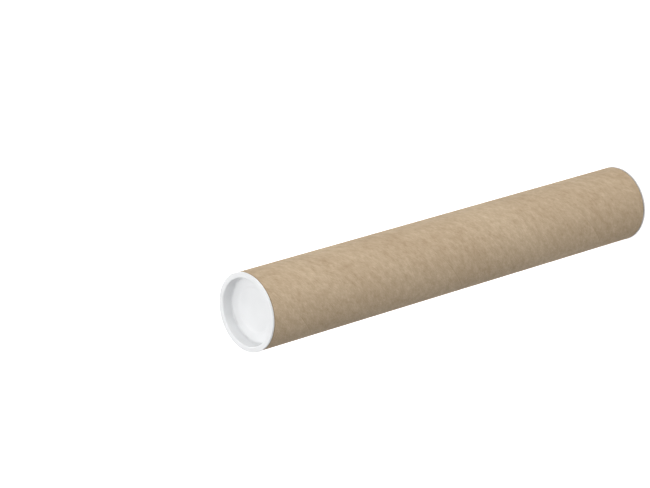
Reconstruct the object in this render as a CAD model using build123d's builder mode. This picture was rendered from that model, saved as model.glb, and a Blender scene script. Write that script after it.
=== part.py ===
"""Mailing tube: a spiral-wound paper tube closed by a moulded plug cap at each end.

Millimetres, +Z up. The tube stands on its lower cap, and the origin is the middle of that
cap's rim, on the surface that the tube stands on.
"""

import os

from build123d import *

# Paper tube
tube_od = 50.0
tube_wall = 2.0
tube_length = 330.0
cut_edge_rounding = 0.4  # outer corner of each cut end

# End cap: a rim that closes on the tube's cut end, and a cup that plugs the bore
rim_overhang = 0.15  # how far the rim stands out past the tube's outside
rim_thickness = 1.2
rim_gap = 0.4  # between the rim and the cut end, outside the land that the cap rests on
land_width = 0.8  # how much of the cut end the land covers
rim_rounding = 0.45  # outer edge of the rim
mouth_rounding = 0.7  # edge between the rim and the recess
recess_depth = 7.0  # from the rim's face to the floor
recess_draft = 0.25  # how much narrower the recess is at its floor than at its mouth
recess_corner = 0.8  # rounding between the recess wall and the ledge
skirt_wall = 1.15  # at the mouth of the recess
floor_thickness = 1.2
ledge_width = 0.5  # raised ring at the foot of the recess wall
ledge_height = 0.3
panel_diameter = 29.0  # round panel sunk into the middle of the floor
panel_depth = 0.1
lead_in_width = 0.8  # bevel that starts the plug into the bore
lead_in_height = 1.8

# Grip ribs down the outside of the plug
rib_count = 16
rib_radius = 0.6
rib_height = 0.3  # how far a rib stands out of the skirt
bore_clearance = 0.05  # between a rib's crest and the bore

# Derived sizes
tube_radius = tube_od / 2
bore_radius = tube_radius - tube_wall
crest_radius = bore_radius - bore_clearance
skirt_radius = crest_radius - rib_height
mouth_radius = skirt_radius - skirt_wall
foot_radius = mouth_radius - recess_draft
rim_radius = tube_radius + rim_overhang
land_radius = bore_radius + land_width
face_level = rim_gap + rim_thickness
floor_level = face_level - recess_depth
plug_end = floor_level - floor_thickness
rib_length = -plug_end - lead_in_height
same_level = 0.001  # edges closer in height than this lie on one circle's level


def end_cap(seat):
    """One moulded end cap. seat is the plane of the tube's cut end, facing out of the tube."""
    section = Plane(origin=seat.origin, x_dir=seat.x_dir, z_dir=-seat.y_dir)
    with BuildPart() as cap:
        # Half section: across is the radius, up is the way out of the tube
        with BuildSketch(section):
            with BuildLine():
                Polyline(
                    (0, plug_end),
                    (skirt_radius - lead_in_width, plug_end),
                    (skirt_radius, plug_end + lead_in_height),
                    (skirt_radius, 0),
                    (land_radius, 0),
                    (land_radius, rim_gap),
                    (rim_radius, rim_gap),
                    (rim_radius, face_level),
                    (mouth_radius, face_level),
                    (foot_radius, floor_level + ledge_height),
                    (foot_radius - ledge_width, floor_level + ledge_height),
                    (foot_radius - ledge_width, floor_level),
                    (panel_diameter / 2, floor_level),
                    (panel_diameter / 2, floor_level - panel_depth),
                    (0, floor_level - panel_depth),
                    close=True,
                )
            make_face()
        revolve(axis=Axis(seat.origin, seat.z_dir))

        # Soften the edges that a hand meets, and the foot of the recess wall
        circles = cap.edges().filter_by(GeomType.CIRCLE)
        face_height = seat.from_local_coords((0, 0, face_level)).Z
        foot_height = seat.from_local_coords((0, 0, floor_level + ledge_height)).Z
        on_face = circles.filter_by(lambda edge: abs(edge.center().Z - face_height) < same_level)
        at_foot = circles.filter_by(lambda edge: abs(edge.center().Z - foot_height) < same_level)
        fillet(on_face.sort_by(SortBy.RADIUS)[-1], rim_rounding)
        fillet(on_face.sort_by(SortBy.RADIUS)[0], mouth_rounding)
        fillet(at_foot.sort_by(SortBy.RADIUS)[-1], min(recess_corner, 0.9 * ledge_width))

        # Ribs run from under the rim to the lead-in bevel
        with BuildSketch(seat):
            with PolarLocations(crest_radius - rib_radius, rib_count):
                Circle(rib_radius)
        extrude(amount=-rib_length)
    return cap.part


base = Plane.XY.offset(face_level)
top = Plane.XY.offset(face_level + tube_length)

# Spiral-wound paper tube, cut square at both ends
with BuildPart() as tube:
    with BuildSketch(base):
        Circle(tube_radius)
        Circle(bore_radius, mode=Mode.SUBTRACT)
    extrude(amount=tube_length)
    cut_edges = tube.edges().filter_by(GeomType.CIRCLE).sort_by(SortBy.RADIUS)[-2:]
    fillet(cut_edges, min(cut_edge_rounding, 0.9 * (tube_wall - land_width)))

# Caps: the upper one faces up, and the lower one is the same moulding turned over
upper_cap = end_cap(top)
lower_cap = end_cap(Plane(origin=base.origin, x_dir=(1, 0, 0), z_dir=(0, 0, -1)))

tube.part.label = "paper_tube"
upper_cap.label = "upper_cap"
lower_cap.label = "lower_cap"

os.makedirs("parts", exist_ok=True)
export_step(tube.part, "parts/paper_tube.step")
export_step(upper_cap, "parts/upper_cap.step")
export_step(lower_cap, "parts/lower_cap.step")
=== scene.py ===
"""The looks of a cardboard mailing tube, wound from kraft paper, with a white plug cap in each end.

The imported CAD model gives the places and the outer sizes. Every piece shown here is a surface
worked out with numpy on a grid, and rides on the CAD body that it stands for. Metres, +Z up:
the tube stands on its lower cap.
"""

import logging
import math
from dataclasses import dataclass, field
from enum import Enum

import bpy
import numpy as np
from mathutils import Matrix, Vector


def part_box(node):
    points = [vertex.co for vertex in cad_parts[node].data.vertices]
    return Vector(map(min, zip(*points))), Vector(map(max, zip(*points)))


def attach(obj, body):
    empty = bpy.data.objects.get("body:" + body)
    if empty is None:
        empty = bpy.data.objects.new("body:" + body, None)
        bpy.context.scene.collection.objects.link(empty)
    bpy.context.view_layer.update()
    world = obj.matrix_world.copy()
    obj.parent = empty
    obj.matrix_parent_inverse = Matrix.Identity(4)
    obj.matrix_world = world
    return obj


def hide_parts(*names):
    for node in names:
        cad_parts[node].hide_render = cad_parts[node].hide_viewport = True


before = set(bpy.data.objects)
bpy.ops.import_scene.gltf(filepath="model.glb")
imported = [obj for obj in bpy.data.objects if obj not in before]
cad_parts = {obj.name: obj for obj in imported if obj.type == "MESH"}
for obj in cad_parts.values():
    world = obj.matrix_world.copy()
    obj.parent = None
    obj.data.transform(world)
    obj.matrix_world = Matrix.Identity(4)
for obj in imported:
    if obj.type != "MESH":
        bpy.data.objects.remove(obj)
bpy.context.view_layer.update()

log = logging.getLogger("mailing_tube")

MM = 0.001
TURN = 2.0 * math.pi
SAME = 1e-7  # two lengths closer than this are one length, in metres
Colour = tuple[float, float, float]


class TubeEnd(Enum):
    """Which end of the tube a cap closes, as the way that it faces along Z."""

    UPPER = 1
    LOWER = -1


class TubeSkin(Enum):
    """The tube's surfaces, as the number of each one's material."""

    OUTSIDE = 0
    CUT_END = 1
    BORE = 2


# ---------------------------------------------------------------- mesh helpers


def arc(
    centre: tuple[float, float], radius: float, start: float, stop: float, steps: int
) -> np.ndarray:
    """Points of an arc in a section: centre plus radius times (cos a, sin a), in even steps.

    Args:
        centre: The arc's centre, as (radius from the axis, height).
        radius: The arc's own radius.
        start: Angle of the first point, in degrees.
        stop: Angle of the last point, in degrees.
        steps: How many pieces the arc is cut into.

    Returns:
        An array of steps + 1 points.
    """
    angles = np.radians(np.linspace(start, stop, steps + 1))
    return np.array(centre) + radius * np.stack([np.cos(angles), np.sin(angles)], axis=1)


def run(start: tuple[float, float], stop: tuple[float, float], steps: int) -> np.ndarray:
    """Points evenly spaced on the straight line from start to stop, both ends included.

    Args:
        start: First point of the section's run.
        stop: Last point of the run.
        steps: How many pieces the run is cut into.

    Returns:
        An array of steps + 1 points.
    """
    share = np.linspace(0.0, 1.0, steps + 1)[:, None]
    return (1.0 - share) * np.array(start) + share * np.array(stop)


def join_runs(*runs: np.ndarray) -> np.ndarray:
    """One section from several runs, with each point that repeats the one before it left out.

    Args:
        runs: Arrays of (radius, height) points, in order.

    Returns:
        The joined array of points.
    """
    points = np.concatenate(runs)
    step = np.linalg.norm(np.diff(points, axis=0), axis=1)
    return points[np.concatenate([[True], step > 1e-7])]


def ring_faces(rows: int, columns: int, wrap_rows: bool) -> np.ndarray:
    """Quads of a grid that closes around the axis.

    Each joins a point to its right, upper right and upper neighbours.

    Args:
        rows: Rows of points.
        columns: Points in a row; the last is joined to the first.
        wrap_rows: True if the last row is joined to the first as well, as on a ring.

    Returns:
        An array with four point numbers for each quad.
    """
    low = np.arange(rows if wrap_rows else rows - 1)[:, None]
    high = (low + 1) % rows
    left = np.arange(columns)[None, :]
    right = (left + 1) % columns
    low, high = low * columns, high * columns
    quads = [low + left, low + right, high + right, high + left]
    return np.stack(quads, axis=-1).reshape(-1, 4)


def make_object(
    name: str, points: np.ndarray, quads: np.ndarray, triangles: np.ndarray | None = None
) -> bpy.types.Object:
    """A smooth-shaded mesh object at the origin, filled from whole arrays.

    Args:
        name: The object's name.
        points: One row of x, y, z for each point, in metres.
        quads: Four point numbers for each quad.
        triangles: Three point numbers for each triangle, after the quads, if there are any.

    Returns:
        The new object, linked to the scene.
    """
    triangles = np.zeros((0, 3), int) if triangles is None else triangles
    corners = np.concatenate([quads.ravel(), triangles.ravel()])
    sizes = np.concatenate([np.full(len(quads), 4), np.full(len(triangles), 3)])
    mesh = bpy.data.meshes.new(name)
    mesh.vertices.add(len(points))
    mesh.vertices.foreach_set("co", points.astype(np.float32).ravel())
    mesh.loops.add(len(corners))
    mesh.loops.foreach_set("vertex_index", corners.astype(np.int32))
    mesh.polygons.add(len(sizes))
    mesh.polygons.foreach_set("loop_start", (np.cumsum(sizes) - sizes).astype(np.int32))
    mesh.update(calc_edges=True)
    mesh.validate()
    mesh.shade_smooth()
    obj = bpy.data.objects.new(name, mesh)
    bpy.context.scene.collection.objects.link(obj)
    return obj


def set_uv(obj: bpy.types.Object, name: str, values: np.ndarray) -> None:
    """Stores a UV map on a mesh.

    Args:
        obj: The mesh object.
        name: The UV map's name.
        values: One u, v pair for each face corner, in the order of the faces.
    """
    layer = obj.data.uv_layers.new(name=name)
    layer.data.foreach_set("uv", values.astype(np.float32).ravel())


# ------------------------------------------------------------------- materials


class NodeBench:
    """Adds and joins the nodes of one material, so that each finish reads as a short recipe."""

    def __init__(self, name: str) -> None:
        """Starts a material with an empty tree and its output node."""
        self.material = bpy.data.materials.new(name)
        self.material.use_nodes = True
        self.tree = self.material.node_tree
        self.tree.nodes.clear()
        self.output = self.tree.nodes.new("ShaderNodeOutputMaterial")

    def add(self, kind: str, **settings: object) -> bpy.types.Node:
        """A new node.

        Args:
            kind: The node type's name, without its ShaderNode prefix.
            settings: The node's own settings, and its sockets' values by socket name, with _ for
                each space.

        Returns:
            The node.
        """
        node = self.tree.nodes.new("ShaderNode" + kind)
        for key, value in settings.items():
            if hasattr(node, key):
                setattr(node, key, value)
                continue
            socket = node.inputs[key.replace("_", " ")]
            if isinstance(value, bpy.types.NodeSocket):
                self.tree.links.new(value, socket)
            else:
                socket.default_value = value
        return node

    def math(self, operation: str, first: object, second: object = 0.0) -> bpy.types.NodeSocket:
        """The output of a Math node.

        Args:
            operation: The node's operation.
            first: Its first input, a number or a socket.
            second: Its second input, a number or a socket.

        Returns:
            The value's socket.
        """
        node = self.tree.nodes.new("ShaderNodeMath")
        node.operation = operation
        for socket, value in zip(node.inputs, (first, second)):
            if isinstance(value, bpy.types.NodeSocket):
                self.tree.links.new(value, socket)
            else:
                socket.default_value = value
        return node.outputs[0]

    def noise(
        self, vector: bpy.types.NodeSocket, scale: float, detail: float, roughness: float = 0.5
    ) -> bpy.types.NodeSocket:
        """A noise pattern's value, about 0 to 1 around 0.5.

        Args:
            vector: The coordinates that it reads.
            scale: Cells in a metre.
            detail: Octaves added to the first.
            roughness: How strong each octave is, as a share of the one before.

        Returns:
            The value's socket.
        """
        node = self.add("TexNoise", Vector=vector, Scale=scale, Detail=detail, Roughness=roughness)
        return node.outputs["Fac"]

    def stretched(
        self, vector: bpy.types.NodeSocket, scale: tuple[float, float, float]
    ) -> bpy.types.NodeSocket:
        """Coordinates multiplied by a scale along each axis; a small one stretches the pattern."""
        return self.add("Mapping", Vector=vector, Scale=scale).outputs["Vector"]

    def ramp(self, factor: bpy.types.NodeSocket, stops: list[tuple[float, Colour]]):
        """A colour ramp's colour.

        Args:
            factor: Where on the ramp, from 0 to 1.
            stops: Each stop's place and linear colour.

        Returns:
            The colour's socket.
        """
        node = self.add("ValToRGB", Fac=factor)
        ramp = node.color_ramp
        while len(ramp.elements) < len(stops):
            ramp.elements.new(0.5)
        for element, (place, colour) in zip(ramp.elements, stops):
            element.position = place
            element.color = (*colour, 1.0)
        return node.outputs["Color"]

    def mix(self, factor: object, first: object, second: object, blend: str = "MIX"):
        """A colour mixed from two, by a factor.

        Args:
            factor: Share of the second colour, a number or a socket.
            first: Colour or socket at factor 0.
            second: Colour or socket at factor 1.
            blend: The Mix node's blend type.

        Returns:
            The colour's socket.
        """
        node = self.tree.nodes.new("ShaderNodeMix")
        node.data_type = "RGBA"
        node.blend_type = blend
        for index, value in ((0, factor), (6, first), (7, second)):
            socket = node.inputs[index]
            if isinstance(value, bpy.types.NodeSocket):
                self.tree.links.new(value, socket)
            elif index == 0:
                socket.default_value = value
            else:
                socket.default_value = (*value, 1.0)
        return node.outputs[2]

    def surface(self, **settings: object) -> bpy.types.Material:
        """Ends the recipe with a Principled shader that has these sockets; gives the material."""
        shader = self.add("BsdfPrincipled", **settings)
        self.tree.links.new(shader.outputs["BSDF"], self.output.inputs["Surface"])
        return self.material


def linear(red: int, green: int, blue: int) -> Colour:
    """A display colour of 0 to 255 a channel as linear light, by the sRGB curve."""
    channels = np.array([red, green, blue]) / 255.0
    curve = np.where(channels <= 0.04045, channels / 12.92, ((channels + 0.055) / 1.055) ** 2.4)
    return tuple(float(c) for c in curve)


@dataclass(frozen=True)
class KraftFinish:
    """Uncoated brown kraft paper, whose fibres lie along the wound strip."""

    name: str
    pale: Colour
    middle: Colour
    dark: Colour
    roughness: float = 0.78
    joint_width: float = 0.35 * MM

    def build(self) -> bpy.types.Material:
        """The paper's material, on the UV map that runs along and across the strip, in metres.

        Clouds of pulp, short fibres and a few long dark ones are added up to one tone, and the
        joint between two turns of the strip, at the map's edges, is a thin dark line.

        Returns:
            The material.
        """
        bench = NodeBench(self.name)
        strip = bench.add("UVMap", uv_map="strip").outputs["UV"]
        drift = bench.noise(bench.stretched(strip, (0.3, 1.0, 1.0)), 28.0, 2.0)
        clouds = bench.noise(bench.stretched(strip, (0.55, 1.0, 1.0)), 260.0, 3.0, 0.62)
        fibres = bench.noise(bench.stretched(strip, (0.22, 1.0, 1.0)), 1900.0, 3.0, 0.6)
        tone = bench.math("MULTIPLY", drift, 0.22)
        tone = bench.math("ADD", tone, bench.math("MULTIPLY", clouds, 0.38))
        tone = bench.math("ADD", tone, bench.math("MULTIPLY", fibres, 0.40))
        colour = bench.ramp(tone, [(0.36, self.dark), (0.5, self.middle), (0.64, self.pale)])
        specks = bench.noise(bench.stretched(strip, (0.12, 1.0, 1.0)), 2400.0, 1.0)
        long_fibres = bench.ramp(specks, [(0.68, (1.0, 1.0, 1.0)), (0.78, (0.80, 0.76, 0.70))])
        colour = bench.mix(1.0, colour, long_fibres, "MULTIPLY")
        across = bench.add("SeparateXYZ", Vector=strip).outputs["Y"]
        from_joint = bench.math("DIVIDE", across, self.joint_width)
        line = bench.math("SUBTRACT", 1.0, bench.math("MINIMUM", from_joint, 1.0))
        colour = bench.mix(bench.math("MULTIPLY", line, 0.28), colour, self.dark)
        fine, coarse = bench.math("MULTIPLY", fibres, 0.6), bench.math("MULTIPLY", clouds, 0.8)
        grain = bench.math("ADD", fine, coarse)
        bump = bench.add("Bump", Strength=0.5, Distance=0.00012, Height=grain)
        rough = bench.math("ADD", bench.math("MULTIPLY", fibres, 0.16), self.roughness - 0.08)
        return bench.surface(Base_Color=colour, Roughness=rough, Normal=bump.outputs["Normal"])


@dataclass(frozen=True)
class CutEdgeFinish:
    """The cut end of the tube, where the glued plies show as rings of torn paper."""

    ply: float
    bore: float
    name: str = "cut_plies"
    pale: Colour = linear(196, 172, 140)
    dark: Colour = linear(134, 110, 82)

    def build(self) -> bpy.types.Material:
        """The cut end's material, on Object coordinates.

        The distance from the axis, divided by a ply's thickness, gives a wave that is dark at
        each glue line, and fine noise tears it.

        Returns:
            The material.
        """
        bench = NodeBench(self.name)
        place = bench.add("TexCoord").outputs["Object"]
        parts = bench.add("SeparateXYZ", Vector=place).outputs
        flat = bench.add("CombineXYZ", X=parts["X"], Y=parts["Y"]).outputs["Vector"]
        length = bench.add("VectorMath", operation="LENGTH")
        bench.tree.links.new(flat, length.inputs[0])
        torn = bench.noise(place, 1800.0, 3.0, 0.6)
        into_wall = bench.math("SUBTRACT", length.outputs["Value"], self.bore)
        count = bench.math("DIVIDE", into_wall, self.ply)
        count = bench.math("ADD", count, bench.math("MULTIPLY", torn, 0.35))
        wave = bench.math("ABSOLUTE", bench.math("SINE", bench.math("MULTIPLY", count, math.pi)))
        rings, tears = bench.math("MULTIPLY", wave, 0.55), bench.math("MULTIPLY", torn, 0.45)
        tone = bench.math("ADD", rings, tears)
        colour = bench.ramp(tone, [(0.25, self.dark), (0.75, self.pale)])
        bump = bench.add("Bump", Strength=0.7, Distance=0.0002, Height=tone)
        return bench.surface(Base_Color=colour, Roughness=0.9, Normal=bump.outputs["Normal"])


@dataclass(frozen=True)
class CapFinish:
    """Satin white moulded polyethylene."""

    name: str = "cap_plastic"
    white: Colour = linear(238, 239, 240)
    roughness: float = 0.38

    def build(self) -> bpy.types.Material:
        """The plastic's material, on Object coordinates.

        Returns:
            The material.
        """
        bench = NodeBench(self.name)
        place = bench.add("TexCoord").outputs["Object"]
        tone = bench.noise(place, 90.0, 2.0)
        shade = tuple(0.965 * c for c in self.white)
        colour = bench.ramp(tone, [(0.3, shade), (0.7, self.white)])
        return bench.surface(
            Base_Color=colour,
            Roughness=self.roughness,
            Subsurface_Weight=0.1,
            Subsurface_Radius=(1.0, 1.0, 1.0),
            Subsurface_Scale=0.0015,
        )


# ------------------------------------------------------------------ paper tube


@dataclass
class PaperTube:
    """The spiral-wound tube: outer skin, cut ends and bore in one closed surface.

    The surface is a grid whose columns are helices of the winding's own pitch, so that the
    joint between two turns of the paper strip runs along a column.
    """

    radius: float
    bore: float
    low: float
    high: float
    strip_pitch: float = 130.0 * MM
    seam_height: float = 214.2 * MM  # where the outer joint crosses the +X side
    edge_rounding: float = 0.4 * MM
    joint_depth: float = 0.09 * MM
    joint_width: float = 0.25 * MM
    under_joint: float = 0.369  # place of the next ply's joint, as a share of the strip
    under_depth: float = 0.035 * MM
    under_width: float = 0.7 * MM
    plies: int = 5
    columns: int = 216
    outer_step: float = 1.6 * MM
    bore_step: float = 3.2 * MM

    def column_angles(self) -> np.ndarray:
        """Angles of the columns from the joint, from 0 to a whole turn, closest beside it."""
        across = self.radius * math.sin(self.lead())
        near = np.array([0.0, 0.1, 0.22, 0.4, 0.7, 1.2, 2.0]) * MM / across
        spread = np.linspace(near[-1], TURN - near[-1], self.columns - 2 * len(near) + 1)
        under = self.under_joint * TURN + np.array([-0.9, -0.45, 0.0, 0.45, 0.9]) * MM / across
        return np.unique(np.concatenate([near[:-1], spread, under, (TURN - near[:0:-1])]))

    def lead(self) -> float:
        """The angle of the strip's edge to the cross-section, from the pitch and the girth."""
        return math.atan2(self.strip_pitch, TURN * self.radius)

    def section(self) -> np.ndarray:
        """The closed wall section: up the outside, over the end, down the bore and out again."""
        r, b, e = self.radius, self.bore, self.edge_rounding
        low, high = self.low, self.high
        up = max(2, round((high - low) / self.outer_step))
        down = max(2, round((high - low) / self.bore_step))
        return join_runs(
            run((r, low + e), (r, high - e), up),
            arc((r - e, high - e), e, 0, 90, 4),
            run((r - e, high), (b + e / 2, high), 4 * self.plies),
            arc((b + e / 2, high - e / 2), e / 2, 90, 180, 3),
            run((b, high - e / 2), (b, low + e / 2), down),
            arc((b + e / 2, low + e / 2), e / 2, 180, 270, 3),
            run((b + e / 2, low), (r - e, low), 4 * self.plies),
            arc((r - e, low + e), e, 270, 360, 4)[:-1],
        )

    def build(self) -> bpy.types.Object:
        """Makes the tube.

        A point at section place (r, z) and column angle a lies around the axis at angle
        a + turn * (z - seam) / pitch. Its radius is r, less the groove of each joint on the
        outside, which is depth * exp(-(distance from the joint / width)^2).

        Returns:
            The tube's object.
        """
        section = self.section()
        angles = self.column_angles()
        r, z = section[:, :1], section[:, 1:]
        middle, half_wall = 0.5 * (self.radius + self.bore), 0.5 * (self.radius - self.bore)
        on_outside = (r - middle) / half_wall > 0.9
        sideways = self.radius * math.sin(self.lead())
        across = np.minimum(angles, TURN - angles)[None, :] * sideways
        groove = self.joint_depth * np.exp(-((across / self.joint_width) ** 2))
        from_under = (angles - self.under_joint * TURN)[None, :] * sideways
        groove = groove + self.under_depth * np.exp(-((from_under / self.under_width) ** 2))
        radius = r - groove * on_outside
        around = angles[None, :] + TURN * (z - self.seam_height) / self.strip_pitch
        x, y = radius * np.cos(around), radius * np.sin(around)
        points = np.stack([x, y, z + 0.0 * around], axis=-1)
        quads = ring_faces(len(section), len(angles), wrap_rows=True)
        obj = make_object("kraft_tube", points.reshape(-1, 3), quads)
        set_uv(obj, "strip", self.strip_uv(section, angles))
        skin = np.full(len(section), TubeSkin.OUTSIDE.value, np.int32)
        skin[section[:, 0] < self.radius - SAME] = TubeSkin.CUT_END.value
        skin[np.abs(section[:, 0] - self.bore) < SAME] = TubeSkin.BORE.value
        obj.data.polygons.foreach_set("material_index", np.repeat(skin, len(angles)))
        return obj

    def strip_uv(self, section: np.ndarray, angles: np.ndarray) -> np.ndarray:
        """Each face corner's place on the unrolled paper strip, in metres.

        Along the strip it is radius * angle * cos(lead) + height / sin(lead), and across it
        radius * angle * sin(lead). Over the cut ends the height goes on along the section.

        Args:
            section: The wall section's points.
            angles: The column angles.

        Returns:
            One pair for each face corner.
        """
        lead = self.lead()
        steps = np.linalg.norm(np.diff(section, axis=0), axis=1)
        walked = np.concatenate([[0.0], np.cumsum(steps)])
        rows = np.concatenate([walked, [walked[-1] + self.outer_step]])
        columns = np.concatenate([angles, [TURN]])
        low, high = rows[:-1, None], rows[1:, None]
        left, right = columns[None, :-1], columns[None, 1:]
        corners = [(low, left), (low, right), (high, right), (high, left)]
        pairs = [
            np.stack(
                np.broadcast_arrays(
                    self.radius * a * math.cos(lead) + h / math.sin(lead),
                    self.radius * a * math.sin(lead) + 0.0 * h,
                ),
                axis=-1,
            )
            for h, a in corners
        ]
        return np.stack(pairs, axis=2).reshape(-1, 2)


# -------------------------------------------------------------------- plug cap


@dataclass
class PlugCap:
    """A moulded end cap: a rim on the tube's cut end, a recess, and a ribbed plug in the bore."""

    end: TubeEnd
    seat: float  # height of the tube's cut end
    rim: float  # radius of the rim
    bore: float
    face: float  # height of the rim's face above the seat
    rim_gap: float = 0.4 * MM
    land_width: float = 0.8 * MM
    rim_rounding: float = 0.45 * MM
    mouth_rounding: float = 0.7 * MM
    recess_depth: float = 7.0 * MM
    recess_draft: float = 0.25 * MM
    corner_rounding: float = 0.45 * MM
    skirt_wall: float = 1.15 * MM
    floor_thickness: float = 1.2 * MM
    ledge_width: float = 0.5 * MM
    ledge_height: float = 0.3 * MM
    panel_radius: float = 14.5 * MM
    panel_depth: float = 0.1 * MM
    lead_in_width: float = 0.8 * MM
    lead_in_height: float = 1.8 * MM
    rib_count: int = 16
    rib_radius: float = 0.6 * MM
    rib_height: float = 0.3 * MM
    bore_clearance: float = 0.05 * MM
    softness: float = 0.15 * MM  # rounding of the small edges
    pole_radius: float = 0.4 * MM  # where the section stops short of the axis

    @property
    def skirt(self) -> float:
        """Radius of the plug between its ribs."""
        return self.bore - self.bore_clearance - self.rib_height

    @property
    def floor(self) -> float:
        """Height of the recess floor above the seat, below 0."""
        return self.face - self.recess_depth

    def column_angles(self) -> np.ndarray:
        """Angles of the columns: the same few for each rib, close over it and wide between ribs."""
        over_rib = np.radians([-1.6, -1.3, -1.0, -0.6, -0.2, 0.2, 0.6, 1.0, 1.3, 1.6])
        sector = TURN / self.rib_count
        between = np.linspace(over_rib[-1], sector + over_rib[0], 11)[1:-1]
        pattern = np.concatenate([over_rib, between])
        return (np.arange(self.rib_count)[:, None] * sector + pattern[None, :]).ravel()

    def section(self) -> np.ndarray:
        """The half section: from the axis out under the floor, up the plug, over the rim and in."""
        mouth = self.skirt - self.skirt_wall
        foot = mouth - self.recess_draft
        under = self.floor - self.floor_thickness
        top, floor = self.face, self.floor
        land, gap = self.bore + self.land_width, self.rim_gap
        rr, mr, cr = self.rim_rounding, self.mouth_rounding, self.corner_rounding
        ledge, ledge_top = foot - self.ledge_width, floor + self.ledge_height
        soft, pole = self.softness, self.pole_radius
        tip, bevel_top = self.skirt - self.lead_in_width, under + self.lead_in_height
        panel_edge, panel = self.panel_radius - 2 * soft, floor - self.panel_depth
        return join_runs(
            run((pole, under), (tip - soft, under), 12),
            arc((tip - soft, under + soft), soft, -90, -20, 3),
            run((tip, under + soft), (self.skirt, bevel_top), 4),
            run((self.skirt, bevel_top), (self.skirt, -soft), 8),
            run((self.skirt, 0.0), (land, 0.0), 3),
            run((land, 0.0), (land, gap), 2),
            run((land, gap), (self.rim - soft, gap), 5),
            arc((self.rim - soft, gap + soft), soft, -90, 0, 4),
            run((self.rim, gap + soft), (self.rim, top - rr), 2),
            arc((self.rim - rr, top - rr), rr, 0, 90, 8),
            run((self.rim - rr, top), (mouth + mr, top), 6),
            arc((mouth + mr, top - mr), mr, 90, 180, 10),
            run((mouth, top - mr), (foot, ledge_top + cr), 12),
            arc((foot - cr, ledge_top + cr), cr, 0, -90, 8),
            run((foot - cr, ledge_top), (ledge + soft, ledge_top), 2),
            arc((ledge + soft, ledge_top - soft), soft, 90, 180, 4),
            run((ledge, ledge_top - soft), (ledge, floor + soft), 2),
            arc((ledge - soft, floor + soft), soft, 0, -90, 4),
            run((ledge - soft, floor), (self.panel_radius + soft, floor), 10),
            run((self.panel_radius + soft, floor), (panel_edge, panel), 3),
            run((panel_edge, panel), (pole, panel), 14),
        )

    def build(self) -> bpy.types.Object:
        """Makes the cap, by carrying the section around the axis.

        A point at section place (r, h) and angle a lies at (r cos a, r sin a) and height seat + h.
        Where it is on the plug between the bevel and the rim, r is at least the rib's own outline,
        c cos t + sqrt(q^2 - (c sin t)^2), with t the angle from the nearest rib, q the rib's radius
        and c its centre's distance from the axis.

        Returns:
            The cap's object.
        """
        section = self.section()
        angles = self.column_angles()
        sector = TURN / self.rib_count
        off_rib = (angles + sector / 2) % sector - sector / 2
        centre = self.bore - self.bore_clearance - self.rib_radius
        inside = self.rib_radius**2 - (centre * np.sin(off_rib)) ** 2
        rib = np.where(inside > 0, centre * np.cos(off_rib) + np.sqrt(np.maximum(inside, 0.0)), 0.0)
        bevel_top = self.floor - self.floor_thickness + self.lead_in_height
        r, h = section[:, :1], section[:, 1:]
        on_skirt = (np.abs(r - self.skirt) < SAME) & (h < 0.0) & (h > bevel_top - SAME)
        radius = np.where(on_skirt, np.maximum(r, rib[None, :]), r + 0.0 * rib[None, :])
        way = self.end.value
        x = radius * np.cos(angles)
        y = way * radius * np.sin(angles)
        z = self.seat + way * h + 0.0 * x
        grid = np.stack([x, y, z], axis=-1).reshape(-1, 3)
        poles = np.zeros((2, 3))
        poles[:, 2] = self.seat + way * section[[0, -1], 1]
        rows, columns = len(section), len(angles)
        left = np.arange(columns)
        right = (left + 1) % columns
        last = (rows - 1) * columns
        first_pole = np.full(columns, rows * columns)
        fans = np.concatenate(
            [
                np.stack([right, left, first_pole], axis=1),
                np.stack([last + left, last + right, first_pole + 1], axis=1),
            ]
        )
        name = f"{self.end.name.lower()}_plug_cap"
        quads = ring_faces(rows, columns, wrap_rows=False)
        return make_object(name, np.concatenate([grid, poles]), quads, fans)


# ---------------------------------------------------------------------- studio


@dataclass(frozen=True)
class LampSetting:
    """Where a square soft lamp hangs, as a bearing from the tube, and how strong it is."""

    azimuth: float  # degrees from +X towards +Y
    elevation: float  # degrees above the floor
    power: float  # watts
    size: float = 1.2
    aim_height: float = 0.17
    distance: float = 1.6


class Lamp(Enum):
    """The studio's lamps."""

    OVERHEAD = LampSetting(azimuth=0.0, elevation=90.0, power=14.3)
    FRONT = LampSetting(azimuth=-45.0, elevation=8.0, power=11.6, size=0.8, aim_height=0.3)
    SIDE = LampSetting(azimuth=0.0, elevation=8.0, power=7.1, size=0.8, aim_height=0.3)
    BACK = LampSetting(azimuth=90.0, elevation=45.0, power=7.8)
    FILL = LampSetting(azimuth=-135.0, elevation=45.0, power=3.0)


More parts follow.
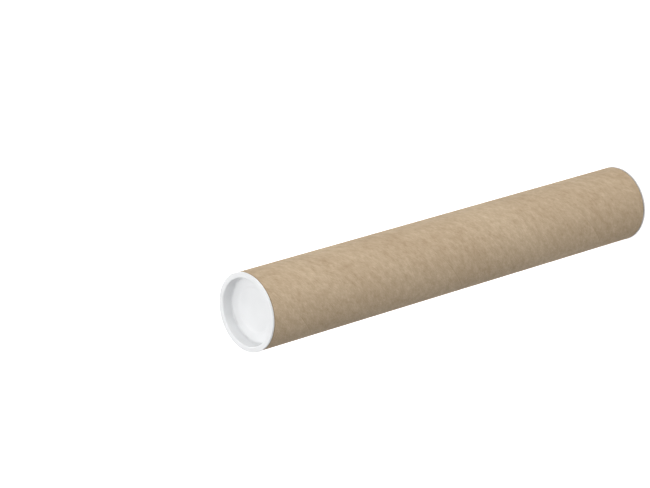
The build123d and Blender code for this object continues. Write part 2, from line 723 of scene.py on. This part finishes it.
@dataclass
class Studio:
    """The floor, the lights and the camera around the object."""

    aim: Vector = field(default_factory=lambda: Vector((0.0245, 0.01135, 0.2583)))
    azimuth: float = -65.13
    elevation: float = 39.73
    roll: float = -105.72
    distance: float = 1.859
    lens: float = 165.3
    floor_half: float = 3.0
    floor_glow: float = 0.9  # light that the floor adds for sight, mirror and glass rays only

    def place_camera(self) -> None:
        """Puts the camera on its line of sight, turned about that line by the roll."""
        a, e = math.radians(self.azimuth), math.radians(self.elevation)
        toward = Vector((math.cos(e) * math.cos(a), math.cos(e) * math.sin(a), math.sin(e)))
        data = bpy.data.cameras.new("camera")
        data.lens = self.lens
        data.sensor_width = 36.0
        data.clip_start = 0.05
        camera = bpy.data.objects.new("camera", data)
        roll = Matrix.Rotation(math.radians(self.roll), 3, "Z")
        turn = toward.to_track_quat("Z", "Y").to_matrix() @ roll
        camera.matrix_world = Matrix.Translation(self.aim + self.distance * toward) @ turn.to_4x4()
        bpy.context.scene.collection.objects.link(camera)
        bpy.context.scene.camera = camera

    def lay_floor(self) -> None:
        """A wide pale floor, which the camera sees as white where nothing shades it."""
        half = self.floor_half
        points = np.array([[-half, -half, 0], [half, -half, 0], [half, half, 0], [-half, half, 0]])
        floor = make_object("floor", points, np.array([[0, 1, 2, 3]]))
        bench = NodeBench("floor_white")
        paper = bench.add("BsdfDiffuse", Color=(0.8, 0.8, 0.8, 1.0))
        glow = bench.add("Emission", Color=(1.0, 1.0, 1.0, 1.0))
        path = bench.add("LightPath").outputs
        seen = bench.math("ADD", path["Is Camera Ray"], path["Is Glossy Ray"])
        seen = bench.math("MINIMUM", bench.math("ADD", seen, path["Is Transmission Ray"]), 1.0)
        scale = bench.math("MULTIPLY", seen, self.floor_glow)
        bench.tree.links.new(scale, glow.inputs["Strength"])
        both = bench.add("AddShader")
        bench.tree.links.new(paper.outputs[0], both.inputs[0])
        bench.tree.links.new(glow.outputs[0], both.inputs[1])
        bench.tree.links.new(both.outputs[0], bench.output.inputs["Surface"])
        floor.data.materials.append(bench.material)

    def light_world(self) -> None:
        """A dome that is white to sight, mirror and glass rays and gives no light of its own."""
        world = bpy.data.worlds.new("dome")
        world.use_nodes = True
        tree = world.node_tree
        background = tree.nodes["Background"]
        background.inputs["Color"].default_value = (1.0, 1.0, 1.0, 1.0)
        path = tree.nodes.new("ShaderNodeLightPath").outputs
        seen = path["Is Camera Ray"]
        for kind in ("Is Glossy Ray", "Is Transmission Ray"):
            either = tree.nodes.new("ShaderNodeMath")
            either.operation = "MAXIMUM"
            tree.links.new(seen, either.inputs[0])
            tree.links.new(path[kind], either.inputs[1])
            seen = either.outputs["Value"]
        tree.links.new(seen, background.inputs["Strength"])
        bpy.context.scene.world = world

    def hang_lamp(self, lamp: Lamp) -> None:
        """Hangs one square soft lamp on its bearing around the tube, facing the tube.

        Args:
            lamp: The lamp to hang.
        """
        setting = lamp.value
        a, e = math.radians(setting.azimuth), math.radians(setting.elevation)
        aim = Vector((0.0, 0.0, setting.aim_height))
        away = Vector((math.cos(e) * math.cos(a), math.cos(e) * math.sin(a), math.sin(e)))
        name = lamp.name.lower()
        data = bpy.data.lights.new(name, "AREA")
        data.shape = "SQUARE"
        data.size = setting.size
        data.energy = setting.power
        obj = bpy.data.objects.new(name, data)
        turn = away.to_track_quat("Z", "Y").to_matrix().to_4x4()
        obj.matrix_world = Matrix.Translation(aim + setting.distance * away) @ turn
        bpy.context.scene.collection.objects.link(obj)

    def build(self) -> None:
        """Sets out the whole studio."""
        self.place_camera()
        self.lay_floor()
        self.light_world()
        for lamp in Lamp:
            self.hang_lamp(lamp)
        bpy.context.scene.view_settings.view_transform = "Standard"


# ------------------------------------------------------------------------ main


def dress(
    obj: bpy.types.Object, materials: list[bpy.types.Material], body: str, node: str
) -> None:
    """Gives a finished piece its materials, and ties it to the frame.

    Args:
        obj: The piece.
        materials: Its materials, in the order of the numbers on its faces.
        body: The CAD body that it rides on.
        node: The CAD node that it stands for.
    """
    for material in materials:
        obj.data.materials.append(material)
    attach(obj, body)
    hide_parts(node)
    log.info("%s: %d faces, rides on %s", obj.name, len(obj.data.polygons), body)


def radii(node: str) -> np.ndarray:
    """The distance of each point of a CAD node from the Z axis."""
    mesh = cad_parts[node].data
    places = np.empty(len(mesh.vertices) * 3, np.float32)
    mesh.vertices.foreach_get("co", places)
    return np.hypot(places[0::3], places[1::3])


def main() -> None:
    """Builds the tube, its two caps and the studio."""
    logging.basicConfig(level=logging.INFO, format="%(message)s")
    low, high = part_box("paper_tube")
    wall = radii("paper_tube")
    tube = PaperTube(radius=float(wall.max()), bore=float(wall.min()), low=low.z, high=high.z)
    outside = KraftFinish(
        "kraft_paper",
        pale=linear(207, 187, 158),
        middle=linear(189, 167, 138),
        dark=linear(171, 147, 117),
    )
    inside = KraftFinish(
        "kraft_lining",
        pale=linear(190, 166, 135),
        middle=linear(172, 147, 115),
        dark=linear(150, 125, 95),
    )
    cut = CutEdgeFinish(ply=(tube.radius - tube.bore) / tube.plies, bore=tube.bore)
    finishes = [outside.build(), cut.build(), inside.build()]
    dress(tube.build(), finishes, "tube", "paper_tube")

    plastic = [CapFinish().build()]
    for end, seat in ((TubeEnd.UPPER, high.z), (TubeEnd.LOWER, low.z)):
        node = f"{end.name.lower()}_cap"
        cap_low, cap_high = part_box(node)
        face = cap_high.z if end is TubeEnd.UPPER else cap_low.z
        cap = PlugCap(
            end=end,
            seat=seat,
            rim=float(radii(node).max()),
            bore=tube.bore,
            face=abs(face - seat),
        )
        dress(cap.build(), plastic, node, node)

    Studio().build()


if __name__ == "__main__":
    main()
